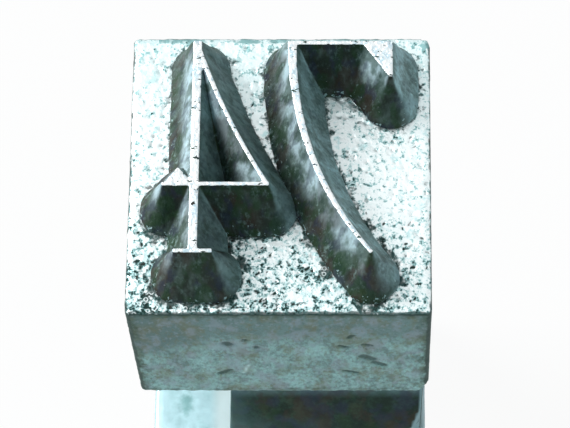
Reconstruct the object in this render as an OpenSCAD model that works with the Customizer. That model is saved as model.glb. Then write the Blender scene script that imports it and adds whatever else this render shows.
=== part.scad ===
// Type slug for a character typewriter: a square head with raised, reversed
// figures, a narrower stem that the machine's jaws grip, and a foot that
// stands in the type bed. Origin at the centre of the foot's underside,
// +Z up towards the printing face, +Y towards the back of the head.

/* [Body] */
// Width of the head and the foot, left to right
body_w = 5; // [4.6:0.1:7]
// Depth of the head and the foot, front to back
body_d = 5; // [4.6:0.1:7]
// Height of the head, from its underside up to the shoulder
head_h = 3.72; // [2.5:0.02:5]
// Height of the foot, from its underside up to the ledge
foot_h = 6.2; // [3:0.1:9]
// Radius of the upright edges of the head and the foot
edge_r = 0.06; // [0.03:0.01:0.2]
// Radius of the head's worn upright edge, at the back right
worn_edge_r = 0.12; // [0.03:0.01:0.4]
// Chamfer round the underside of the foot
heel_chamfer = 0.2; // [0.05:0.05:0.4]

/* [Stem] */
// Gap between the underside of the head and the ledge of the foot
stem_h = 3.1; // [2:0.05:6]
// How far the stem is set back from the front, and from the back
stem_set_back = 0.1; // [0.02:0.02:1.2]
// How deep the notch beside the stem is at the foot, from the left side
stem_notch = 1.4; // [0.5:0.01:1.9]
// How much deeper the notch is under the head than at the foot
stem_taper = 0.18; // [0:0.02:0.4]
// How far the stem is set back from the right side
stem_right_gap = 0.09; // [0.02:0.01:0.5]
// Width of the worn facet on the stem's front right edge, at the ledge
facet_w = 0.3; // [0.1:0.02:0.4]
// Height of that facet, from the ledge up to where it runs out
facet_h = 2.2; // [0.6:0.1:2.4]
// Length of the tenon at each end of the stem
tenon_l = 1; // [0.6:0.1:2]
// Step from the side of the stem in to the side of the tenon
tenon_step = 0.9; // [0.3:0.05:1.2]
// Room left for solder past the end of each tenon
solder_gap = 0.05; // [0.02:0.01:0.2]

/* [Figures] */
// Height of the figures above the shoulder
relief_h = 1.15; // [0.5:0.05:1.5]
// How far a flank spreads sideways by the time it reaches the shoulder
flank_spread = 0.38; // [0.1:0.01:0.4]
// Height of the figures as they print
figure_h = 3.76; // [3:0.02:3.8]
// Width of one figure as it prints
figure_w = 1.72; // [1.3:0.02:1.76]
// Gap between the two figures as they print
figure_gap = 0.28; // [0.1:0.02:0.4]
// Thickness of the thin strokes
hairline = 0.06; // [0.04:0.01:0.12]
// Thickness of the thick strokes
thick_stroke = 0.14; // [0.1:0.01:0.25]

/* [Hidden] */
$fn = 48;

// Heights of the faces that the pieces meet at
ledge_z = foot_h;
underside_z = foot_h + stem_h;
shoulder_z = underside_z + head_h;

// Outline of the stem, as its left, right, front and back
stem_left = -body_w / 2 + stem_notch;
stem_right = body_w / 2 - stem_right_gap;
stem_front = -body_d / 2 + stem_set_back;
stem_back = body_d / 2 - stem_set_back;

// The upright land at the top of a flank, and the sides of the flank's cone
face_land = 0.04;
flank_sides = 28;

// How far a cut runs past the face that it opens
past = 1;

// Points along each side of a curved stroke
bow_steps = 12;

// Where the strokes of a figure lie, in shares of its width or height
four_stem_at = 0.7;
four_bar_at = 0.31;
four_bend_at = 0.62;
seven_foot_at = 0.2;
seven_bend_at = 0.42;

// Sizes of the wedges that end the thin strokes, and of the foot stroke
wedge_w = 0.5;
wedge_h = 0.32;
serif_w = 0.62;

cast_grey = [0.62, 0.65, 0.65];
dark_metal = [0.2, 0.22, 0.22];
inked_metal = [0.3, 0.34, 0.34];

// A block standing on the XY plane, with one radius for each upright edge,
// in the order front left, front right, back right, back left
module edged_block(w, d, h, radii) {
    corners = [[-1, -1], [1, -1], [1, 1], [-1, 1]];
    linear_extrude(h) union() {
        polygon([for (i = [0:3])
            let (c = corners[i], r = radii[i],
                 on_side = [c[0] * w / 2, c[1] * (d / 2 - r)],
                 on_end = [c[0] * (w / 2 - r), c[1] * d / 2])
            each (i % 2 == 0 ? [on_side, on_end] : [on_end, on_side])]);
        for (i = [0:3])
            translate([corners[i][0] * (w / 2 - radii[i]), corners[i][1] * (d / 2 - radii[i])])
                circle(radii[i]);
    }
}

// The stem between its tenons, whose left wall leans in towards the head
module stem_shaft() {
    translate([0, stem_back, 0]) rotate([90, 0, 0]) linear_extrude(stem_back - stem_front)
        polygon([[stem_left, ledge_z], [stem_right, ledge_z],
                 [stem_right, underside_z], [stem_left + stem_taper, underside_z]]);
}

// What the worn facet takes off the stem's front right edge
module facet_cut() {
    lean = atan(facet_w / sqrt(2) / facet_h);
    translate([stem_right, stem_front, ledge_z + facet_h]) rotate([0, 0, 45]) rotate([lean, 0, 0])
        translate([-past, -past, -facet_h - past]) cube([2 * past, past, facet_h + past]);
}

// A box as wide and as deep as a tenon
module tenon_box(z0, z1) {
    left = stem_left + stem_taper + tenon_step;
    width = stem_right - tenon_step - left;
    depth = stem_back - stem_front - 2 * tenon_step;
    translate([left, stem_front + tenon_step, z0]) cube([width, depth, z1 - z0]);
}

// A bar along Y whose two lower edges are chamfered
module heel_profile(w, length) {
    translate([0, length, 0]) rotate([90, 0, 0]) linear_extrude(2 * length)
        polygon([[-w / 2 + heel_chamfer, 0], [w / 2 - heel_chamfer, 0], [w / 2, heel_chamfer],
                 [w / 2, foot_h], [-w / 2, foot_h], [-w / 2, heel_chamfer]]);
}

// A point of a quadratic curve, the direction it runs in there, and the
// point beside it at the distance off
function bow(a, b, c, t) = (1 - t) * (1 - t) * a + 2 * (1 - t) * t * b + t * t * c;
function bow_run(a, b, c, t) = (1 - t) * (b - a) + t * (c - b);
function bow_side(a, b, c, t, off) =
    let (run = bow_run(a, b, c, t))
    bow(a, b, c, t) + off * [-run[1], run[0]] / norm(run);

// A stroke along a curve, w0 wide where it starts and w1 where it ends
module bowed_stroke(a, b, c, w0, w1) {
    function half(t) = (w0 + t * (w1 - w0)) / 2;
    polygon([
        for (i = [0:bow_steps]) let (t = i / bow_steps) bow_side(a, b, c, t, half(t)),
        for (i = [bow_steps:-1:0]) let (t = i / bow_steps) bow_side(a, b, c, t, -half(t))]);
}

// A level thin stroke whose lower left corner is at p
module level_stroke(p, length) {
    translate(p) square([length, hairline]);
}

// The figure seven as it prints, lower left corner of its box at the origin
module seven_outline() {
    leg_x = figure_w - thick_stroke / 2;
    level_stroke([0, figure_h - hairline], figure_w);
    // wedge that hangs from the free end of the bar
    polygon([[0, figure_h], [wedge_w, figure_h - hairline / 2],
             [hairline, figure_h - 2 * wedge_h], [0, figure_h - 2 * wedge_h]]);
    bowed_stroke([leg_x, figure_h - hairline / 2], [leg_x, figure_h * seven_bend_at],
                 [figure_w * seven_foot_at, 0], thick_stroke, hairline);
}

// The figure four as it prints, lower left corner of its box at the origin
module four_outline() {
    stem_x = figure_w * four_stem_at;
    bar_y = figure_h * four_bar_at;
    translate([stem_x - thick_stroke / 2, 0]) square([thick_stroke, figure_h]);
    level_stroke([0, bar_y], figure_w);
    level_stroke([stem_x - serif_w / 2, 0], serif_w);
    // wedge that stands on the right end of the bar
    polygon([[figure_w, bar_y], [figure_w - wedge_w, bar_y + hairline / 2],
             [figure_w - wedge_w / 2, bar_y + wedge_h]]);
    bowed_stroke([stem_x, figure_h - hairline], [stem_x * four_bend_at, figure_h * four_bend_at],
                 [hairline / 2, bar_y + hairline / 2], thick_stroke / 2, hairline);
}

// Raises an outline from the shoulder, reversed so that it prints the right
// way round, with sloping flanks that have round ends
module raised(x) {
    translate([0, 0, shoulder_z]) mirror([1, 0, 0]) minkowski() {
        linear_extrude(face_land) translate([x, -figure_h / 2]) children();
        cylinder(h = relief_h - face_land, r1 = flank_spread, r2 = 0, $fn = flank_sides);
    }
}

module type_head() {
    color(cast_grey) difference() {
        translate([0, 0, underside_z])
            edged_block(body_w, body_d, head_h, [edge_r, edge_r, worn_edge_r, edge_r]);
        tenon_box(underside_z - past, underside_z + tenon_l + solder_gap);
    }
}

// The flanks of the two figures run together, and the four is the whole one
module numeral_seven() {
    color(inked_metal) difference() {
        raised(-figure_gap / 2 - figure_w) seven_outline();
        raised(figure_gap / 2) four_outline();
    }
}

module numeral_four() {
    color(inked_metal) raised(figure_gap / 2) four_outline();
}

module stem() {
    color(dark_metal) union() {
        difference() {
            stem_shaft();
            facet_cut();
        }
        tenon_box(ledge_z - tenon_l, underside_z + tenon_l);
    }
}

module foot() {
    color(cast_grey) difference() {
        intersection() {
            edged_block(body_w, body_d, foot_h, [edge_r, edge_r, edge_r, edge_r]);
            heel_profile(body_w, body_d);
            rotate([0, 0, 90]) heel_profile(body_d, body_w);
        }
        tenon_box(ledge_z - tenon_l - solder_gap, ledge_z + past);
    }
}

type_head();
numeral_seven();
numeral_four();
stem();
foot();
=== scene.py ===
# Looks of a typewriter type slug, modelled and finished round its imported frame
import math
from types import SimpleNamespace

import bpy
import numpy as np
from bpy.props import FloatProperty, FloatVectorProperty, PointerProperty
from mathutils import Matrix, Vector
from mathutils.bvhtree import BVHTree


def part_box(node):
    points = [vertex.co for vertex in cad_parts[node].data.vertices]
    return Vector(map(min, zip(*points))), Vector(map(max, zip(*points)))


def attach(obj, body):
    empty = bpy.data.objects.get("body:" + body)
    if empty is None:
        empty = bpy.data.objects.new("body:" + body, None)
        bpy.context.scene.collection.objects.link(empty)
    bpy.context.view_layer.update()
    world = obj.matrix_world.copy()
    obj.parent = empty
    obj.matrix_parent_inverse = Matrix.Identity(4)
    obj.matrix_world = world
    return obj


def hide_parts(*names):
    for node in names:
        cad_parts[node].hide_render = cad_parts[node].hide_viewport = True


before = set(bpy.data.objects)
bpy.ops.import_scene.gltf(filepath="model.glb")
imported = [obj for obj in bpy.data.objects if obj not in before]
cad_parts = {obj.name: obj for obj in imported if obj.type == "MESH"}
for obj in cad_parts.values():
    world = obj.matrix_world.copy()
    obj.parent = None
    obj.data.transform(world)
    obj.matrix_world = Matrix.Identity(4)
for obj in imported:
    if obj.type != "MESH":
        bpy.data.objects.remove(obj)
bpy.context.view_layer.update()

bl_info = {
    "name": "Type Slug",
    "version": (1, 0, 0),
    "blender": (4, 5, 0),
    "location": "3D View > Sidebar > Type Slug",
    "description": "Builds the pieces of a typewriter type slug with worn, inked metal finishes",
    "category": "Object",
}

# Pieces are modelled in millimetres and brought to metres when they are done
MM = 0.001

# The head's box, and the heights of the level faces
HEAD_LOW, HEAD_HIGH = (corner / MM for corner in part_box("type_head"))
PRINTING_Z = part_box("numeral_four")[1].z / MM
SHOULDER_Z = HEAD_HIGH.z
UNDERSIDE_Z = HEAD_LOW.z
LEDGE_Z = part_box("foot")[1].z / MM

# Left edge of the stem at the ledge, and the middle of the bruise beside it
STEM_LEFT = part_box("stem")[0].x / MM
LEDGE_BRUISE = Vector((-1.90, -1.62, LEDGE_Z))

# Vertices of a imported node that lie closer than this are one
MERGE_GAP = 0.0005

# Vertex groups hold their weights in this many steps
WEIGHT_STEPS = 50

# Stands for the gap to the figures where they are too far off to matter
FAR_OFF = 5.0


# Sizes and colours that a user would change


def length(name, description, default):
    """A property for a length in millimetres."""
    return FloatProperty(name=name, description=description, default=default, min=0.0, precision=3)


def colour(name, description, default):
    """A property for a colour, as linear red, green and blue."""
    return FloatVectorProperty(
        name=name, description=description, default=default, subtype="COLOR", min=0.0, max=1.0)


class SlugSizes(bpy.types.PropertyGroup):
    """Sizes of the wear and of the meshes, in millimetres."""

    body_grid: length("Body grid", "Spacing of the mesh on the sides of head and foot", 0.05)
    stem_grid: length("Stem grid", "Spacing of the mesh on the stem", 0.055)
    figure_grid: length("Figure grid", "Spacing of the mesh on the figures", 0.020)
    edge_wear: length("Edge wear", "Width of the worn bevel on the edges of the blocks", 0.025)
    pit_depth: length("Pit depth", "Depth of the casting pits in the shoulder", 0.022)
    chip_width: length("Chip width", "Width of the chip in the head's lower right corner", 0.17)
    chip_height: length("Chip height", "Height of the chip in the head's lower right corner", 0.45)
    chip_depth: length("Chip depth", "How far back the chip in that corner reaches", 0.3)
    nick_depth: length("Nick depth", "Depth of the nicks in the front of the head", 0.03)
    seat_depth: length("Seat depth", "How far the figures are sunk into the shoulder", 0.05)
    flare: length("Flare", "How far the foot of a flank spreads over the shoulder", 0.07)
    edge_bite: length("Edge bite", "Depth of the small bites along the edges of the blocks", 0.02)
    face_nick: length("Face nick", "Depth of the nicks in the borders of the ground faces", 0.03)
    block_swell: length("Block swell", "Height of the broad unevenness of head, stem and foot", 0.012)
    block_skin: length("Block skin", "Height of the fine unevenness of head and foot", 0.008)
    stem_skin: length("Stem skin", "Height of the fine unevenness of the stem", 0.006)
    flank_swell: length("Flank swell", "Height of the broad unevenness of the flanks", 0.060)
    flank_skin: length("Flank skin", "Height of the fine unevenness of the flanks", 0.010)


class SlugColours(bpy.types.PropertyGroup):
    """Colours of the metals, the ink and the stage."""

    bright_metal: colour("Bright metal", "Cleaned metal of shoulder and ledge", (0.91, 0.99, 1.0))
    pale_metal: colour("Pale metal", "Thinly stained metal of the shoulder", (0.62, 0.84, 0.86))
    ledge_metal: colour("Ledge metal", "Smooth metal of the ledge", (0.66, 0.93, 1.0))
    side_metal: colour("Side metal", "Dull metal of the sides", (0.246, 0.428, 0.424))
    stain: colour("Stain", "Dark stain in pits and corners", (0.022, 0.060, 0.052))
    haze: colour("Haze", "Bluish clouds on the sides", (0.295, 0.365, 0.43))
    film: colour("Film", "Thin teal film round the specks and on the bruise", (0.29, 0.55, 0.56))
    navy: colour("Blue stain", "Bluish film on the flanks and the stem", (0.030, 0.042, 0.080))
    moss: colour("Green stain", "Greenish film on flanks, stem and edges", (0.020, 0.062, 0.022))
    umber: colour("Brown ink", "Brownish film on flanks, stem and shoulder", (0.056, 0.036, 0.027))
    grit: colour("Grit", "Grains of metal that show through the ink", (0.28, 0.40, 0.38))
    rust: colour("Brown stain", "Olive brown clouds on the sides", (0.162, 0.175, 0.090))
    ground_face: colour("Ground face", "Ground tops of the strokes", (0.90, 0.94, 0.95))
    dulled_face: colour("Dulled face", "Bluish film on the ground faces", (0.60, 0.76, 0.84))
    flank_metal: colour("Flank metal", "Metal of the flanks where the ink is thin", (0.120, 0.168, 0.150))
    # Painted light: the bright colour painted on the left-facing flanks
    lit_left_flank: colour("Rubbed flank", "Left flanks, which are rubbed nearly clean", (0.66, 0.85, 0.92))
    # Painted light: the grey painted on the right-facing flanks
    right_flank_light: colour("Slate", "Right flanks, which have only a thin grey film", (0.58, 0.82, 0.86))
    ink: colour("Ink", "Old ink on the flanks", (0.022, 0.033, 0.025))
    steel: colour("Steel", "Dark steel of the stem", (0.009, 0.026, 0.018))
    # Worn steel also carries the painted light under the head and near the ledge
    worn_and_lit_steel: colour("Worn steel", "Steel of the stem where it is rubbed", (0.24, 0.39, 0.42))
    floor: colour("Floor", "Floor that the slug stands on", (0.92, 0.92, 0.92))


class SlugLight(bpy.types.PropertyGroup):
    """Strengths of the lamps and of the surroundings."""

    key: FloatProperty(
        name="Key", description="Level that the key lamp gives a surface turned to it",
        default=0.95, min=0.0)
    fill: FloatProperty(
        name="Fill", description="Level that the fill lamp gives a surface turned to it",
        default=0.07, min=0.0)
    sky: FloatProperty(
        name="Surroundings", description="Level of the light from all round",
        default=0.27, min=0.0)


# Working with objects and meshes


def deselect():
    """Leaves nothing selected, in object mode."""
    if bpy.context.object and bpy.context.object.mode != "OBJECT":
        bpy.ops.object.mode_set(mode="OBJECT")
    bpy.ops.object.select_all(action="DESELECT")


def work_on(piece):
    """Makes a piece the only selected object and the active one."""
    deselect()
    piece.select_set(True)
    bpy.context.view_layer.objects.active = piece


def copy_of_node(node, name):
    """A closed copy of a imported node, in millimetres, to be shaped further."""
    piece = bpy.data.objects.new(name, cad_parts[node].data.copy())
    bpy.context.scene.collection.objects.link(piece)
    piece.data.materials.clear()
    work_on(piece)
    piece.scale = (1 / MM,) * 3
    bpy.ops.object.transform_apply(location=True, rotation=True, scale=True)
    bpy.ops.object.mode_set(mode="EDIT")
    bpy.ops.mesh.select_all(action="SELECT")
    bpy.ops.mesh.remove_doubles(threshold=MERGE_GAP)
    bpy.ops.object.mode_set(mode="OBJECT")
    return piece


def vertex_places(piece):
    """The places of a mesh's vertices, one row each."""
    places = np.empty(len(piece.data.vertices) * 3, np.float32)
    piece.data.vertices.foreach_get("co", places)
    return places.reshape(-1, 3)


def vertex_normals(piece):
    """The directions that a mesh's vertices face, one row each."""
    normals = np.empty(len(piece.data.vertices) * 3, np.float32)
    piece.data.vertex_normals.foreach_get("vector", normals)
    return normals.reshape(-1, 3)


def face_places(piece):
    """The middles and the normals of a mesh's faces, one row each."""
    count = len(piece.data.polygons)
    middles = np.empty(count * 3, np.float32)
    normals = np.empty(count * 3, np.float32)
    piece.data.polygons.foreach_get("center", middles)
    piece.data.polygons.foreach_get("normal", normals)
    return middles.reshape(-1, 3), normals.reshape(-1, 3)


def edit_faces(piece, chosen):
    """Goes into edit mode with only the chosen faces selected."""
    work_on(piece)
    bpy.ops.object.mode_set(mode="EDIT")
    bpy.ops.mesh.select_mode(type="FACE")
    bpy.ops.mesh.select_all(action="DESELECT")
    bpy.ops.object.mode_set(mode="OBJECT")
    piece.data.polygons.foreach_set("select", chosen)
    bpy.ops.object.mode_set(mode="EDIT")


def edit_vertices(piece, chosen):
    """Goes into edit mode with only the chosen vertices selected."""
    work_on(piece)
    bpy.ops.object.mode_set(mode="EDIT")
    bpy.ops.mesh.select_mode(type="VERT")
    bpy.ops.mesh.select_all(action="DESELECT")
    bpy.ops.object.mode_set(mode="OBJECT")
    piece.data.vertices.foreach_set("select", chosen)
    bpy.ops.object.mode_set(mode="EDIT")


def group_of(piece, name, weights):
    """Makes a vertex group from one weight per vertex, rounded to steps."""
    group = piece.vertex_groups.new(name=name)
    steps = np.rint(np.clip(weights, 0, 1) * WEIGHT_STEPS).astype(int)
    for step in range(1, WEIGHT_STEPS + 1):
        members = np.nonzero(steps == step)[0]
        if len(members):
            group.add(members.tolist(), step / WEIGHT_STEPS, "REPLACE")
    return name


def note(piece, name, values):
    """Stores one number per vertex, for the materials to read."""
    attribute = piece.data.attributes.new(name, "FLOAT", "POINT")
    attribute.data.foreach_set("value", np.ascontiguousarray(values, np.float32))


def ramped(values, low, high):
    """0 below low, 1 above high and a smooth rise between them."""
    share = np.clip((values - low) / (high - low), 0, 1)
    return share * share * (3 - 2 * share)


def apply_modifier(piece, kind, **settings):
    """Adds a modifier, sets it up and applies it."""
    work_on(piece)
    modifier = piece.modifiers.new(kind.title(), kind)
    for name, value in settings.items():
        setattr(modifier, name, value)
    bpy.ops.object.modifier_apply(modifier=modifier.name)


def remesh(piece, grid):
    """Gives a closed mesh an even net of square faces."""
    apply_modifier(piece, "REMESH", mode="VOXEL", voxel_size=grid, adaptivity=0.0)


def roughen(piece, name, scale, depth, between=None, group="", detail=2, middle=0.5):
    """Moves a surface in and out by a cloudy texture, and returns how far each vertex went.

    Between two levels, if they are given, the texture runs from black to white."""
    texture = bpy.data.textures.new(name, "CLOUDS")
    texture.noise_scale = scale
    texture.noise_depth = detail
    texture.noise_basis = "IMPROVED_PERLIN"
    if between:
        texture.use_color_ramp = True
        limit_ramp(texture.color_ramp.elements, *between)
    before = vertex_places(piece)
    apply_modifier(
        piece, "DISPLACE", texture=texture, texture_coords="LOCAL", strength=depth,
        mid_level=middle, vertex_group=group)
    return np.linalg.norm(vertex_places(piece) - before, axis=1)


def dent(piece, group, depth):
    """Pushes the vertices of a group inwards by their weight times the depth."""
    apply_modifier(piece, "DISPLACE", strength=-depth, mid_level=0.0, vertex_group=group)


def limit_ramp(elements, black, white):
    """Makes a colour ramp black up to one place and white from another on."""
    for element, place, grey in zip(elements, (black, white), (0.0, 1.0)):
        element.position = place
        element.color = (grey, grey, grey, 1.0)


def to_metres(piece):
    """Brings a finished piece from millimetres to metres, with its place in its mesh."""
    work_on(piece)
    piece.scale = (MM,) * 3
    bpy.ops.object.transform_apply(location=True, rotation=True, scale=True)


def hand_over(piece, node, material):
    """Finishes a piece and puts it in the place of its node."""
    work_on(piece)
    bpy.ops.object.shade_smooth()
    piece.data.materials.append(material)
    to_metres(piece)
    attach(piece, "root")
    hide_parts(node)


def distance_to(nodes, places):
    """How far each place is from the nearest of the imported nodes, in millimetres."""
    nearest = np.full(len(places), np.inf)
    for node in nodes:
        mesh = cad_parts[node].data
        tree = BVHTree.FromPolygons(
            [v.co / MM for v in mesh.vertices], [p.vertices for p in mesh.polygons])
        found = [tree.find_nearest(Vector(place))[3] for place in places]
        nearest = np.minimum(nearest, found)
    return nearest


def edge_gap(places, low, high):
    """How far each place on a block's surface is from the block's nearest edge."""
    gaps = np.concatenate([places - np.array(low), np.array(high) - places], axis=1)
    return np.maximum(np.sort(gaps, axis=1)[:, 1], 0)


def segment_gap(places, start, end):
    """How far each place is from a straight segment."""
    start, end = np.array(start), np.array(end)
    run = end - start
    share = np.clip((places - start) @ run / (run @ run), 0, 1)
    return np.linalg.norm(places - start - share[:, None] * run, axis=1)


# Materials


class Wire:
    """One output of a material's nodes. Sums, products and so on of wires add Math nodes."""

    def __init__(self, tree, socket):
        self.tree = tree
        self.socket = socket

    def node(self, kind, settings=None, inputs=None, output=0):
        """Adds a node, sets it up, fills or connects its inputs, and returns one output."""
        made = self.tree.nodes.new(kind)
        for name, value in (settings or {}).items():
            setattr(made, name, value)
        for key, value in (inputs or {}).items():
            if isinstance(value, Wire):
                self.tree.links.new(value.socket, made.inputs[key])
            else:
                made.inputs[key].default_value = value
        return Wire(self.tree, made.outputs[output] if made.outputs else None)

    def math(self, operation, first, second):
        """The result of a Math node on two wires or numbers."""
        return self.node("ShaderNodeMath", {"operation": operation}, {0: first, 1: second})

    def __add__(self, other):
        return self.math("ADD", self, other)

    __radd__ = __add__

    def __sub__(self, other):
        return self.math("SUBTRACT", self, other)

    def __rsub__(self, other):
        return self.math("SUBTRACT", other, self)

    def __mul__(self, other):
        return self.math("MULTIPLY", self, other)

    __rmul__ = __mul__

    def either(self, other):
        """The larger of two values."""
        return self.math("MAXIMUM", self, other)

    def rise(self, low, high):
        """0 below low, 1 above high and a smooth rise between them. It falls if low is the larger."""
        if low > high:
            return 1 - self.rise(high, low)
        return self.node(
            "ShaderNodeMapRange", {"interpolation_type": "SMOOTHSTEP"},
            {"Value": self, "From Min": low, "From Max": high})

    def tint(self, zero, one):
        """A colour that runs from zero to one as this value does."""
        colours = {0: self, 6: opaque(zero), 7: opaque(one)}
        return self.node("ShaderNodeMix", {"data_type": "RGBA"}, colours, output=2)

    def stretched(self, factors):
        """A place with each coordinate multiplied."""
        return self.node("ShaderNodeVectorMath", {"operation": "MULTIPLY"}, {0: self, 1: factors})

    def shifted(self, step):
        """A place moved by a step."""
        return self.node("ShaderNodeVectorMath", {"operation": "ADD"}, {0: self, 1: step})

    def reach(self):
        """How far a place is from the origin."""
        return self.node("ShaderNodeVectorMath", {"operation": "LENGTH"}, {0: self}, output=1)

    def part(self, axis):
        """One coordinate of a place."""
        return self.node("ShaderNodeSeparateXYZ", None, {0: self}, output="XYZ".index(axis))

    def cloud(self, scale, detail, rough=0.55):
        """Noise with this many lumps per millimetre, from about 0.25 to 0.75."""
        inputs = {"Vector": self, "Scale": scale, "Detail": detail, "Roughness": rough}
        return self.node("ShaderNodeTexNoise", {"normalize": True}, inputs)

    def cells(self, scale):
        """Distance to the nearest of many scattered points."""
        return self.node("ShaderNodeTexVoronoi", {"feature": "F1"}, {"Vector": self, "Scale": scale})


def opaque(tone):
    """A wire as it is, or a colour with its alpha."""
    return tone if isinstance(tone, Wire) else (*tone, 1.0)


def new_material(name):
    """A material with an empty tree, its place in millimetres and a reader of attributes."""
    material = bpy.data.materials.new(name)
    material.use_nodes = True
    tree = material.node_tree
    tree.nodes.clear()
    start = Wire(tree, None)
    place = start.node("ShaderNodeTexCoord", output=3).stretched((1 / MM,) * 3)

    def noted(attribute):
        return start.node("ShaderNodeAttribute", {"attribute_name": attribute}, output=2)

    return material, place, noted


def set_surface(material, base, roughness, metallic, bump, bump_depth, specular):
    """Ends a material in one metal shader, bumped by a height in millimetres."""
    start = Wire(material.node_tree, None)
    normal = start.node(
        "ShaderNodeBump", None, {"Strength": 1.0, "Distance": bump_depth * MM, "Height": bump})
    shader = start.node("ShaderNodeBsdfPrincipled", None, {
        "Base Color": opaque(base), "Roughness": roughness, "Metallic": metallic,
        "Specular IOR Level": specular, "Normal": normal})
    start.node("ShaderNodeOutputMaterial", None, {"Surface": shader})


def read_cast_skin(place, noted):
    """Where on a cast block a point lies, and the clouds that its colours share."""
    height = place.part("Z")
    on_head = height.rise(LEDGE_Z + 1, UNDERSIDE_Z - 1)
    return SimpleNamespace(
        place=place, across=place.part("X"), along=place.part("Y"), height=height,
        on_head=on_head, on_ledge=1 - on_head, face_up=noted("facing_up"),
        gap=noted("edge_gap"), pit=noted("pit"), print_gap=noted("figure_gap"),
        scratch=noted("scratch"), patchy=place.cloud(2.6, 3), mottle=place.cloud(6.5, 4, 0.6),
        fine=place.cloud(11.5, 2, 0.6), grain=place.cloud(26, 2, 0.6), cell=place.cells(9.5))


def shoulder_colour(colours, skin):
    """Bright metal with stained specks, and the masks of its specks and of all its dirt."""
    # Stain lies thick at the front of the shoulder and thinner at its left, and the back is clean
    front = (0 - skin.along).rise(0.1, 2.3) * (1 - 0.35 * skin.across.rise(0.9, 2.1))
    left = (0 - skin.across).rise(0.6, 2.3) * (0 - skin.along).rise(-0.9, 0.5)
    back_left = skin.along.rise(-0.1, 0.9) * (0 - skin.across).rise(-0.4, 0.6)
    beside = skin.print_gap.rise(0.50, 0.04)
    stained = 0.16 + 0.52 * front + 0.06 * left - 0.12 * back_left + 0.15 * beside
    stained = (stained + 1.5 * (skin.patchy - 0.5)).rise(-0.15, 1.15)

    # Specks lie where the grain is coarsest, with a thin film round them
    gritty = 0.54 * skin.fine + 0.42 * skin.grain + 0.10 * skin.cell
    over = gritty - 0.675 + 0.130 * stained - 0.2 * skin.on_ledge
    film = over.rise(-0.110, 0.005)
    specks = over.rise(-0.018, 0.062) * (0.55 + 0.45 * front).either(over.rise(0.035, 0.07))
    smudge = 0.55 * (skin.mottle - 0.5) + 0.35 * (skin.fine - 0.5)
    smudge = smudge + front * (1.1 * skin.patchy - 0.48) + 0.07
    smudge = (smudge - skin.print_gap).rise(-0.05, 0.09) * 0.85

    # The rim of the top is dark, all along the front and in broken lines on the other edges, and
    # the back has only a teal film, on its rim and in a few blotches beside it
    near_front = (0 - skin.along).rise(2.2, 2.35)
    near_back = skin.along.rise(2.25, 2.40)
    broken = (0.6 * skin.patchy + 0.4 * skin.mottle).rise(0.44, 0.54).either(near_front)
    rim = skin.gap + 0.10 * (skin.mottle - 0.5) - 0.06 * near_back - 0.012 * near_front
    rim = rim.rise(0.045, 0.022) * broken
    blotches = (0.7 * skin.mottle + 0.3 * skin.fine).rise(0.54, 0.58) * skin.along.rise(1.9, 2.25)
    film = film.either(rim * near_back).either(blotches)
    pitted = skin.pit.rise(0.30, 0.75) * skin.on_head * stained.rise(0.0, 0.45)
    dirt = specks.either(pitted).either(smudge).either(rim * (0.8 - 0.6 * near_back))

    clean = (skin.mottle + 0.5 * (skin.patchy - 0.5)).rise(0.28, 0.42)
    clean = clean * (1 - 0.35 * skin.along.rise(0.6, 1.8))
    top = clean.tint(colours.pale_metal, colours.bright_metal)
    top = (film * 0.92).tint(top, colours.film)
    brown = skin.place.cloud(5.5, 2).rise(0.46, 0.62) * 0.7
    top = dirt.tint(top, brown.tint(colours.stain, colours.umber))

    # Painted highlights: grains that stand proud of the stain in front of the figures are painted as
    # bright rings, as if they caught the light
    ring = skin.cell.rise(0.20, 0.27) * skin.cell.rise(0.42, 0.33)
    ring = ring * skin.place.cloud(1.8, 1).rise(0.52, 0.60)
    top = (ring * front * stained).tint(top, colours.bright_metal)
    return top, specks, dirt


def ledge_colour(colours, skin):
    """The ledge's smoother skin with one grey bruise, and the mask of the painted highlight beside the
    stem.
    """
    ledge = (skin.patchy.rise(0.45, 0.70) * 0.35).tint(colours.ledge_metal, colours.film)
    bruise = skin.place.shifted(-LEDGE_BRUISE).stretched((1.0, 0.55, 1.0))
    bruised = bruise.reach() + 0.26 * (skin.mottle - 0.5) + 0.10 * (skin.fine - 0.5)
    ledge = (bruised.rise(0.19, 0.03) * 0.9).tint(ledge, colours.film)
    # Painted highlight: a bright band on the ledge along the stem's left edge
    painted_highlight_band = skin.across.rise(STEM_LEFT - 0.42, STEM_LEFT - 0.16)
    ledge = (painted_highlight_band * 0.75).tint(ledge, colours.bright_metal)
    return ledge, painted_highlight_band


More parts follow.
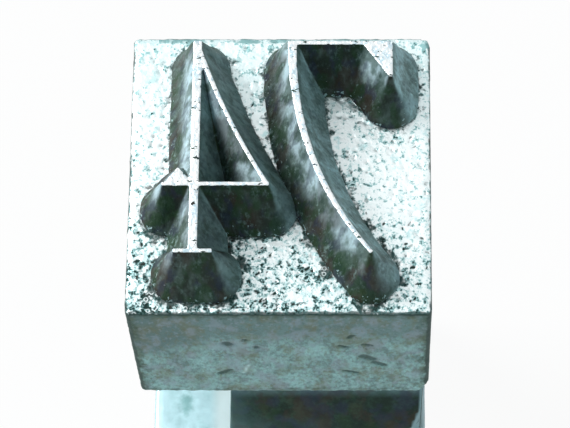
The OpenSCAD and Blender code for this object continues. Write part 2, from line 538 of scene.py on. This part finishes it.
def side_colour(colours, skin):
    """Dull grey sides with soft green, brown and bluish clouds, darker near the top."""
    wall = skin.place.stretched((1.0, 1.0, 0.55))
    patchy = wall.cloud(2.0, 3)
    mottle = wall.cloud(7.0, 3, 0.6)
    grain = wall.cloud(19, 2, 0.7)
    dulled = (0.30 * patchy + 0.30 * mottle + 0.40 * grain).rise(0.38, 0.62)
    darker = tuple(0.58 * c for c in colours.side_metal)
    lighter = tuple(1.42 * c for c in colours.side_metal)
    side = dulled.tint(darker, lighter)
    side = (wall.cloud(2.9, 3).rise(0.52, 0.66) * 0.14).tint(side, colours.moss)

    # The shade near the top comes lower at the left of the front
    near_left = (0 - skin.across).rise(0.9, 2.1)
    shaded = skin.height + 0.8 * (patchy - 0.5) + 0.6 * near_left
    shaded = shaded.rise(SHOULDER_Z - 1.60, SHOULDER_Z - 0.70) * (0.78 + 0.17 * near_left)
    side = shaded.tint(side, tuple(0.45 * c for c in colours.side_metal))

    # Broad clouds first, then fine ones
    side = (wall.cloud(2.4, 3).rise(0.47, 0.66) * 0.50).tint(side, colours.rust)
    side = (wall.cloud(3.7, 2).rise(0.50, 0.66) * 0.50).tint(side, colours.haze)
    side = (wall.cloud(15, 2, 0.6).rise(0.54, 0.66) * 0.36).tint(side, colours.rust)
    side = (wall.cloud(12, 2, 0.6).rise(0.54, 0.66) * 0.40).tint(side, colours.haze)

    # Stain lies along the edges, in the nicks and in a few marks
    clear = skin.height.rise(UNDERSIDE_Z + 0.05, UNDERSIDE_Z + 0.16)
    green = (skin.gap + 0.5 * (mottle - 0.5)).rise(0.26, 0.02) * 0.62 * clear
    side = green.tint(side, colours.moss)
    border = (skin.gap + 0.08 * (mottle - 0.5)).rise(0.095, 0.055) * 0.95 * clear
    nicked = (skin.pit + 1.3 * (grain - 0.5) + 1.0 * (mottle - 0.5)).rise(0.15, 0.80) * 0.8
    marks = wall.cloud(5.5, 3, 0.7).rise(0.66, 0.75) * 0.55
    side = marks.either(nicked).either(border).tint(side, colours.stain)
    return (skin.scratch * 0.8).tint(side, colours.pale_metal)


def cast_metal_finish(colours):
    """Pale cast metal: bright, grainy tops and dull sides, dark in pits and along edges."""
    material, place, noted = new_material("pitted_metal")
    skin = read_cast_skin(place, noted)
    ragged = skin.height + 0.12 * (skin.mottle - 0.5)
    top = skin.face_up.either(skin.on_ledge * ragged.rise(LEDGE_Z - 0.09, LEDGE_Z - 0.05))
    shoulder, specks, dirt = shoulder_colour(colours, skin)
    ledge, painted_highlight_band = ledge_colour(colours, skin)
    base = top.tint(side_colour(colours, skin), skin.on_ledge.tint(shoulder, ledge))

    roughness = 0.60 - 0.17 * top + 0.30 * dirt * top + 0.15 * (skin.fine - 0.5)
    # The painted highlight beside the stem is also made less metallic, which brightens it
    metallic = 0.35 + 0.42 * top * (1 - dirt) - 0.72 * top * skin.on_ledge * painted_highlight_band
    bump = 0.45 * skin.mottle + 0.35 * skin.fine + 0.20 * skin.grain - 0.7 * specks * top
    bump = bump * (1 - 0.95 * skin.on_ledge)
    set_surface(material, base, roughness, metallic, bump, 0.014, specular=0.2)
    return material


def ground_mask(place, height, face_up):
    """1 on the ground faces, with nicks and ragged borders, and the fine cloud behind them."""
    fine = place.cloud(18, 3, 0.6)
    ragged = height + 0.016 * (fine - 0.5)
    ground = ragged.rise(PRINTING_Z - 0.035, PRINTING_Z - 0.015)
    ground = ground * (face_up + 0.9 * (fine - 0.5)).rise(0.45, 0.75)
    nicks = place.stretched((0.5, 1.0, 1.0)).cloud(15, 2, 0.6)
    return ground * nicks.rise(0.69, 0.63), fine


def inked_metal_finish(colours):
    """Ground, bright stroke tops over flanks stained with old ink, with painted light on the left and
    right flanks and painted shade on the front ones.
    """
    material, place, noted = new_material("inked_relief")
    height = place.part("Z")
    front = noted("facing_front")
    left = noted("facing_left")
    right = noted("facing_right")
    ground, fine = ground_mask(place, height, noted("facing_up"))
    face = place.cloud(9, 3).rise(0.45, 0.68).tint(colours.ground_face, colours.dulled_face)

    # The flanks are steep, so their clouds are drawn out upwards
    slope = place.stretched((1.0, 1.0, 0.4))
    broad = slope.cloud(1.3, 2)
    patchy = slope.cloud(2.7, 3)
    mottle = slope.cloud(7.0, 3, 0.6)
    grain = slope.cloud(17, 2, 0.6)

    # Ink lies thick beside the ground faces and at the foot of the flanks. More ink on the front flanks
    # is painted shade, and less on the right flanks and beside the ground faces of the left ones goes
    # with the painted light there
    share = (height - SHOULDER_Z) * (1 / (PRINTING_Z - SHOULDER_Z))
    ink_and_shade_depth = 0.50 - 0.55 * right + (1 - left) * share.rise(0.88, 0.95) * 0.45
    ink_and_shade_depth = ink_and_shade_depth + front * 0.25 * share.rise(-0.1, 0.3)
    ink_and_shade_depth = ink_and_shade_depth + share.rise(0.15, 0.0) * 0.3 + 1.4 * (mottle - 0.5) + 2.0 * (patchy - 0.5)
    ink_and_shade = (ink_and_shade_depth + 0.4 * (grain - 0.5)).rise(0.05, 0.95)

    # Painted light: the left flanks are painted bright, most towards the ground faces, and the right ones
    # a dimmer grey
    uneven = 1.0 * patchy + 0.8 * grain + 0.5 * mottle - 1.15
    rubbed = left * (1.4 * share + 0.6 * uneven).rise(0.42, 1.12)
    bare = rubbed.tint(colours.flank_metal, colours.lit_left_flank)
    right_light_patches = (0.4 * patchy + 0.35 * mottle + 0.25 * grain).rise(0.41, 0.57)
    right_flank_light = right * (0.30 + 0.70 * right_light_patches) * (0.5 + 0.5 * place.part("X").rise(-0.3, 1.0))
    bare = right_flank_light.tint(bare, colours.right_flank_light)
    flanks = (ink_and_shade * (1 - 0.75 * rubbed - 0.55 * right) * 0.96).tint(bare, colours.ink)

    # Brown, blue and green films lie over the ink, thinner on the right flanks as part of their painted
    # light
    film = 1 - 0.55 * right
    flanks = (film * broad.rise(0.45, 0.58) * 0.60).tint(flanks, colours.umber)
    flanks = (film * slope.cloud(4.4, 3).rise(0.48, 0.62) * 0.52).tint(flanks, colours.navy)
    flanks = (film * slope.cloud(3.4, 3).rise(0.45, 0.60) * 0.65).tint(flanks, colours.moss)

    # Grains of metal show through, fewest on the front flanks, where that keeps the painted shade dark
    fewer_on_shaded_front = 1 - 0.6 * front
    speckled = slope.cloud(10, 3, 0.7).rise(0.52, 0.72)
    speckled = speckled * (0.30 + 0.6 * slope.cloud(1.7, 2).rise(0.45, 0.6))
    flanks = (speckled * fewer_on_shaded_front).tint(flanks, colours.grit)
    # Painted highlights: glints of bright metal on the lower flanks
    glints = place.cloud(20, 2).rise(0.70, 0.74) * slope.cloud(2.0, 2).rise(0.50, 0.56)
    flanks = (glints * share.rise(0.75, 0.2) * fewer_on_shaded_front).tint(flanks, colours.bright_metal)
    grains = (place.cloud(13, 2, 0.6) - 0.71 + 0.14 * share.rise(0.24, 0.0)).rise(0.0, 0.03)
    flanks = (grains * share.rise(0.30, 0.2) * 0.6).tint(flanks, colours.pale_metal)

    base = ground.tint(flanks, face)
    roughness = 0.62 - 0.28 * ground + 0.25 * (mottle - 0.5)
    metallic = 0.05 + 0.65 * ground
    bump = 0.5 * mottle + 0.3 * grain + 0.2 * fine
    set_surface(material, base, roughness, metallic, bump, 0.045, specular=0.12)
    return material


def dark_steel_finish(colours):
    """Dark, dull steel with old grease, rubbed lighter where the jaws touch it, and with painted light
    under the head and near the ledge.
    """
    material, place, noted = new_material("greasy_steel")
    rubbed = noted("rubbed")
    across = place.part("X")
    height = place.part("Z")

    # The sides of the stem are steep, so their clouds are drawn out upwards
    wall = place.stretched((1.0, 1.0, 0.42))
    broad = wall.cloud(1.6, 2)
    mottle = wall.cloud(4.0, 3, 0.6)
    fine = wall.cloud(17, 3, 0.6)

    # Painted light: the steel is lightest under the head, then near the ledge, and it is also tinted
    # lighter at its left edge
    greasy = (0.5 * mottle + 0.5 * fine).rise(0.36, 0.56)
    base = greasy.tint(tuple(2.3 * c for c in colours.steel), colours.steel)
    near_head = height.rise(UNDERSIDE_Z - 0.65, UNDERSIDE_Z - 0.05) * (0.8 + 0.8 * (mottle - 0.5))
    base = (0.75 * near_head).tint(base, colours.worn_and_lit_steel)
    near_ledge = height.rise(UNDERSIDE_Z - 1.3, LEDGE_Z + 0.5) * across.rise(1.6, -0.8)
    base = (0.34 * near_ledge * broad.rise(0.25, 0.6)).tint(base, colours.worn_and_lit_steel)
    base = (broad.rise(0.50, 0.64) * 0.28).tint(base, tuple(0.5 * c for c in colours.rust))
    base = (wall.cloud(3.1, 3).rise(0.48, 0.62) * 0.42).tint(base, colours.umber)
    base = (wall.cloud(2.3, 3).rise(0.50, 0.62) * 0.45).tint(base, colours.navy)
    base = (wall.cloud(2.8, 3).rise(0.50, 0.62) * 0.40).tint(base, colours.moss)
    near_left = across.rise(STEM_LEFT + 0.75, STEM_LEFT + 0.05)
    base = (near_left * 0.16).tint(base, colours.film)
    worn = rubbed * (mottle + 0.5).rise(0.70, 0.95)
    base = worn.tint(base, colours.worn_and_lit_steel)
    roughness = 0.72 - 0.12 * worn + 0.2 * (mottle - 0.5)
    metallic = 0.05 + 0.3 * worn
    set_surface(material, base, roughness, metallic, 0.5 * fine + 0.5 * mottle, 0.008, specular=0.06)
    return material


def material_once(name, make):
    """The material of that name, made on first use."""
    return bpy.data.materials.get(name) or make(bpy.context.scene.slug_colours)


# Pieces


def notes_for_block(piece, low, high, pits):
    """Stores what the cast metal finish reads: tops, edges, pits and the gap to the figures."""
    places = vertex_places(piece)
    note(piece, "facing_up", ramped(vertex_normals(piece)[:, 2], 0.45, 0.75))
    note(piece, "edge_gap", edge_gap(places, low, high))
    note(piece, "pit", pits)
    gaps = np.full(len(places), FAR_OFF)
    near = places[:, 2] > SHOULDER_Z - 0.2
    if near.any():
        gaps[near] = distance_to(("numeral_four", "numeral_seven"), places[near])
    note(piece, "figure_gap", gaps)


def refine_top(piece, top_z):
    """Halves the grid on the level faces at a height."""
    middles, normals = face_places(piece)
    edit_faces(piece, (normals[:, 2] > 0.95) & (abs(middles[:, 2] - top_z) < 0.02))
    bpy.ops.mesh.subdivide(number_cuts=1)
    bpy.ops.object.mode_set(mode="OBJECT")


def cast_block(node, name, pit_depth, fine_top=False, cut=None):
    """A packed block with worn edges, an uneven skin and pits in its top.

    Returns the piece, its two corners, and how deep in a pit each vertex lies, where 1 is a
    pit as deep as the shoulder's."""
    sizes = bpy.context.scene.slug_sizes
    low, high = (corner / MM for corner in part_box(node))
    piece = copy_of_node(node, name)
    if cut:
        cut(piece)
    apply_modifier(
        piece, "BEVEL", width=sizes.edge_wear, segments=2, limit_method="ANGLE",
        angle_limit=math.radians(40))
    remesh(piece, sizes.body_grid)
    if fine_top:
        refine_top(piece, high.z)
    top = group_of(piece, "top", ramped(vertex_normals(piece)[:, 2], 0.9, 0.99))
    edges = group_of(piece, "edges", ramped(-edge_gap(vertex_places(piece), low, high), -0.12, -0.03))
    roughen(
        piece, name + "_bites", 0.14, -sizes.edge_bite, between=(0.35, 0.75), group=edges,
        detail=3, middle=0.0)
    roughen(piece, name + "_swell", 0.9, sizes.block_swell)
    roughen(piece, name + "_skin", 0.16, sizes.block_skin)
    pits = roughen(
        piece, name + "_pits", 0.11, -pit_depth, between=(0.58, 0.70), group=top,
        detail=4, middle=0.0)
    return piece, low, high, pits / sizes.pit_depth


def chip_corner(piece):
    """Cuts the chip off the lower right corner of the head's front."""
    sizes = bpy.context.scene.slug_sizes
    corner = Vector((HEAD_HIGH.x, HEAD_LOW.y, HEAD_LOW.z))
    ends = [
        corner - Vector((sizes.chip_width, 0, 0)),
        corner + Vector((0, sizes.chip_depth, 0)),
        corner + Vector((0, 0, sizes.chip_height))]
    outwards = (ends[1] - ends[0]).cross(ends[2] - ends[0]).normalized()
    if outwards.dot(corner - ends[0]) < 0:
        outwards.negate()
    edit_faces(piece, np.ones(len(piece.data.polygons), bool))
    bpy.ops.mesh.bisect(plane_co=ends[0], plane_no=outwards, use_fill=True, clear_outer=True)
    bpy.ops.object.mode_set(mode="OBJECT")


# Nicks in the front of the head: x, how far below the shoulder, length, fall and width
FRONT_NICKS = (
    (-0.91, 1.36, 0.05, 0.04, 0.16),
    (-0.42, 1.52, 0.02, 0.05, 0.10),
    (1.14, 1.08, 0.05, -0.08, 0.09),
    (0.98, 1.48, 0.12, 0.06, 0.09),
    (1.40, 1.42, 0.08, 0.04, 0.11),
    (1.38, 1.98, 0.14, 0.14, 0.17),
    (1.56, 2.28, 0.16, 0.12, 0.13),
    (1.05, 2.68, 0.22, 0.10, 0.09),
    (-1.06, 2.80, 0.16, -0.14, 0.13),
    (-0.60, 1.20, 0.03, 0.03, 0.08),
)

# Ends of the bright scratch in the front of the head: x and how far below the shoulder
FRONT_SCRATCH = ((-0.66, 2.75), (-0.58, 2.38))


class SLUG_OT_type_head(bpy.types.Operator):
    """Builds the square cast head"""

    bl_idname = "slug.type_head"
    bl_label = "Type Head"

    def execute(self, context):
        sizes = context.scene.slug_sizes
        piece, low, high, pits = cast_block(
            "type_head", "head_block", sizes.pit_depth, fine_top=True, cut=chip_corner)
        places = vertex_places(piece)
        nicks = np.zeros(len(places))
        for x, below, reach, fall, width in FRONT_NICKS:
            start = (x, low.y, high.z - below)
            gap = segment_gap(places, start, (x + reach, low.y, high.z - below - fall))
            nicks = np.maximum(nicks, ramped(-gap, -width, 0))
        dent(piece, group_of(piece, "nicks", nicks), sizes.nick_depth)
        notes_for_block(piece, low, high, np.maximum(pits, nicks))
        ends = [(x, low.y, high.z - below) for x, below in FRONT_SCRATCH]
        note(piece, "scratch", ramped(-segment_gap(places, *ends), -0.045, 0))
        hand_over(piece, "type_head", material_once("pitted_metal", cast_metal_finish))
        return {"FINISHED"}


class SLUG_OT_foot(bpy.types.Operator):
    """Builds the cast foot, whose ledge shows beside the stem"""

    bl_idname = "slug.foot"
    bl_label = "Foot"

    def execute(self, context):
        ledge_pits = context.scene.slug_sizes.pit_depth * 0.1
        piece, low, high, pits = cast_block("foot", "foot_block", ledge_pits)
        notes_for_block(piece, low, high, pits)
        hand_over(piece, "foot", material_once("pitted_metal", cast_metal_finish))
        return {"FINISHED"}


class SLUG_OT_stem(bpy.types.Operator):
    """Builds the dark stem between head and foot"""

    bl_idname = "slug.stem"
    bl_label = "Stem"

    def execute(self, context):
        sizes = context.scene.slug_sizes
        piece = copy_of_node("stem", "stem_bar")
        apply_modifier(
            piece, "BEVEL", width=sizes.edge_wear, segments=2, limit_method="ANGLE",
            angle_limit=math.radians(50))
        remesh(piece, sizes.stem_grid)
        roughen(piece, "stem_swell", 0.8, sizes.block_swell)
        roughen(piece, "stem_skin", 0.15, sizes.stem_skin)
        facing = vertex_normals(piece)
        note(piece, "rubbed", ramped(facing[:, 0] - facing[:, 1], 1.25, 1.40))
        hand_over(piece, "stem", material_once("greasy_steel", dark_steel_finish))
        return {"FINISHED"}


def figure(node, name):
    """A raised figure with inked, slightly uneven flanks and a flat ground face."""
    sizes = bpy.context.scene.slug_sizes
    piece = copy_of_node(node, name)
    remesh(piece, sizes.figure_grid)
    heights = vertex_places(piece)[:, 2]
    flank = group_of(piece, "flank", ramped(-heights, -(PRINTING_Z - 0.02), -(PRINTING_Z - 0.10)))
    apply_modifier(piece, "SMOOTH", factor=0.5, iterations=24, vertex_group=flank)
    roughen(piece, name + "_swell", 0.55, sizes.flank_swell, group=flank)
    roughen(piece, name + "_skin", 0.16, sizes.flank_skin, group=flank)
    heights = vertex_places(piece)[:, 2]
    rim = group_of(piece, "rim", ramped(heights, PRINTING_Z - 0.06, PRINTING_Z - 0.01))
    roughen(
        piece, name + "_nicks", 0.06, -sizes.face_nick, between=(0.64, 0.72), group=rim, middle=0.0)
    edit_vertices(piece, vertex_places(piece)[:, 2] < SHOULDER_Z + 0.012)
    bpy.ops.transform.translate(value=(0, 0, -sizes.seat_depth))
    bpy.ops.object.mode_set(mode="OBJECT")
    share = (vertex_places(piece)[:, 2] - SHOULDER_Z) / (PRINTING_Z - SHOULDER_Z)
    flare = group_of(piece, "flare", np.clip(1 - 1.6 * share, 0, 1) ** 2)
    dent(piece, flare, -sizes.flare)
    facing = vertex_normals(piece)
    note(piece, "facing_up", ramped(facing[:, 2], 0.4, 0.8))
    note(piece, "facing_front", ramped(-facing[:, 1], 0.25, 0.85))
    note(piece, "facing_left", ramped(-facing[:, 0], 0.25, 0.85))
    note(piece, "facing_right", ramped(facing[:, 0], 0.25, 0.85))
    hand_over(piece, node, material_once("inked_relief", inked_metal_finish))


class SLUG_OT_figures(bpy.types.Operator):
    """Builds the two raised figures"""

    bl_idname = "slug.figures"
    bl_label = "Figures"

    def execute(self, context):
        figure("numeral_four", "four_relief")
        figure("numeral_seven", "seven_relief")
        return {"FINISHED"}


# Stage


CAMERA_PLACE = Vector((1.545, -19.36, 56.42)) * MM
CAMERA_TILT = math.radians(23.2)
CAMERA_LENS = 181.2
CAMERA_SHIFT = (-0.155, 0.0028)

# Places of the lamps and widths of their squares, in metres
KEY_PLACE = Vector((-0.26, 0.10, 0.26))
KEY_WIDTH = 0.20
FILL_PLACE = Vector((0.10, -0.35, 0.12))
FILL_WIDTH = 0.25
FLOOR_WIDTH = 1.2

# Tints of the light, and how much of the floor's own shade is hidden in white
WHITE_LIGHT = (1.0, 1.0, 1.0)
COOL_LIGHT = (0.70, 0.95, 1.0)
FLOOR_GLOW = 0.94


def seen_directly(start):
    """1 for rays that should see the white surroundings, and 0 for the light that they give."""
    path = start.node("ShaderNodeLightPath")
    outputs = path.socket.node.outputs
    seen = Wire(start.tree, outputs["Is Camera Ray"])
    for name in ("Is Glossy Ray", "Is Transmission Ray"):
        seen = seen.either(Wire(start.tree, outputs[name]))
    return seen


def floor_finish(colours):
    """A pale floor that looks white and still keeps some of the shadow."""
    material = bpy.data.materials.new("pale_floor")
    material.use_nodes = True
    material.node_tree.nodes.clear()
    start = Wire(material.node_tree, None)
    lit = start.node("ShaderNodeBsdfDiffuse", None, {"Color": opaque(colours.floor)})
    white = start.node("ShaderNodeEmission", None, {"Color": opaque(WHITE_LIGHT), "Strength": 1.0})
    share = seen_directly(start) * FLOOR_GLOW
    surface = start.node("ShaderNodeMixShader", None, {0: share, 1: lit, 2: white})
    start.node("ShaderNodeOutputMaterial", None, {"Surface": surface})
    return material


def light_surroundings(level):
    """A world that is white to look at and lights the slug at a lower level."""
    world = bpy.data.worlds.new("surroundings")
    bpy.context.scene.world = world
    world.use_nodes = True
    world.node_tree.nodes.clear()
    start = Wire(world.node_tree, None)
    seen = seen_directly(start)
    strength = level + seen * (1.0 - level)
    hue = seen.tint(COOL_LIGHT, WHITE_LIGHT)
    light = start.node("ShaderNodeBackground", None, {"Color": hue, "Strength": strength})
    start.node("ShaderNodeOutputWorld", None, {"Surface": light})


def hang_lamp(name, place, width, level, tint):
    """A square soft lamp that lights what faces it at a level, aimed at the head."""
    target = Vector((0, 0, SHOULDER_Z * MM))
    bpy.ops.object.light_add(type="AREA", location=place)
    lamp = bpy.context.object
    lamp.name = name
    lamp.data.shape = "SQUARE"
    lamp.data.size = width
    lamp.data.color = tint
    reach = (target - lamp.location).length
    lamp.data.energy = level * math.pi ** 2 * reach ** 2
    lamp.rotation_euler = (target - lamp.location).to_track_quat("-Z", "Y").to_euler()
    lamp.visible_camera = False


class SLUG_OT_stage(bpy.types.Operator):
    """Sets up the floor, the surroundings, the lamps and the camera"""

    bl_idname = "slug.stage"
    bl_label = "Stage"

    def execute(self, context):
        light = context.scene.slug_light
        deselect()
        bpy.ops.mesh.primitive_plane_add(size=FLOOR_WIDTH)
        floor = context.object
        floor.name = "floor"
        floor.data.materials.append(floor_finish(context.scene.slug_colours))

        light_surroundings(light.sky)
        hang_lamp("key_lamp", KEY_PLACE, KEY_WIDTH, light.key, WHITE_LIGHT)
        hang_lamp("fill_lamp", FILL_PLACE, FILL_WIDTH, light.fill, COOL_LIGHT)

        bpy.ops.object.camera_add(location=CAMERA_PLACE, rotation=(CAMERA_TILT, 0, 0))
        camera = context.object
        camera.data.sensor_width = 36
        camera.data.lens = CAMERA_LENS
        camera.data.shift_x, camera.data.shift_y = CAMERA_SHIFT
        camera.data.clip_start = 0.001
        context.scene.camera = camera
        context.scene.view_settings.view_transform = "Standard"
        return {"FINISHED"}


class SLUG_PT_builder(bpy.types.Panel):
    """Lists the pieces of the slug in the sidebar"""

    bl_idname = "SLUG_PT_builder"
    bl_label = "Type Slug"
    bl_space_type = "VIEW_3D"
    bl_region_type = "UI"
    bl_category = "Type Slug"

    def draw(self, context):
        for group in (context.scene.slug_sizes, context.scene.slug_colours, context.scene.slug_light):
            box = self.layout.box()
            for name in group.__annotations__:
                box.prop(group, name)
        for operator in PIECE_OPERATORS:
            self.layout.operator(operator.bl_idname)


PIECE_OPERATORS = (SLUG_OT_type_head, SLUG_OT_figures, SLUG_OT_stem, SLUG_OT_foot, SLUG_OT_stage)
CLASSES = (SlugSizes, SlugColours, SlugLight, *PIECE_OPERATORS, SLUG_PT_builder)


def register():
    for each in CLASSES:
        bpy.utils.register_class(each)
    bpy.types.Scene.slug_sizes = PointerProperty(type=SlugSizes)
    bpy.types.Scene.slug_colours = PointerProperty(type=SlugColours)
    bpy.types.Scene.slug_light = PointerProperty(type=SlugLight)


def unregister():
    del bpy.types.Scene.slug_light
    del bpy.types.Scene.slug_colours
    del bpy.types.Scene.slug_sizes
    for each in reversed(CLASSES):
        bpy.utils.unregister_class(each)


def main():
    """Builds everything."""
    register()
    bpy.ops.slug.type_head()
    bpy.ops.slug.figures()
    bpy.ops.slug.stem()
    bpy.ops.slug.foot()
    bpy.ops.slug.stage()


if __name__ == "__main__":
    main()
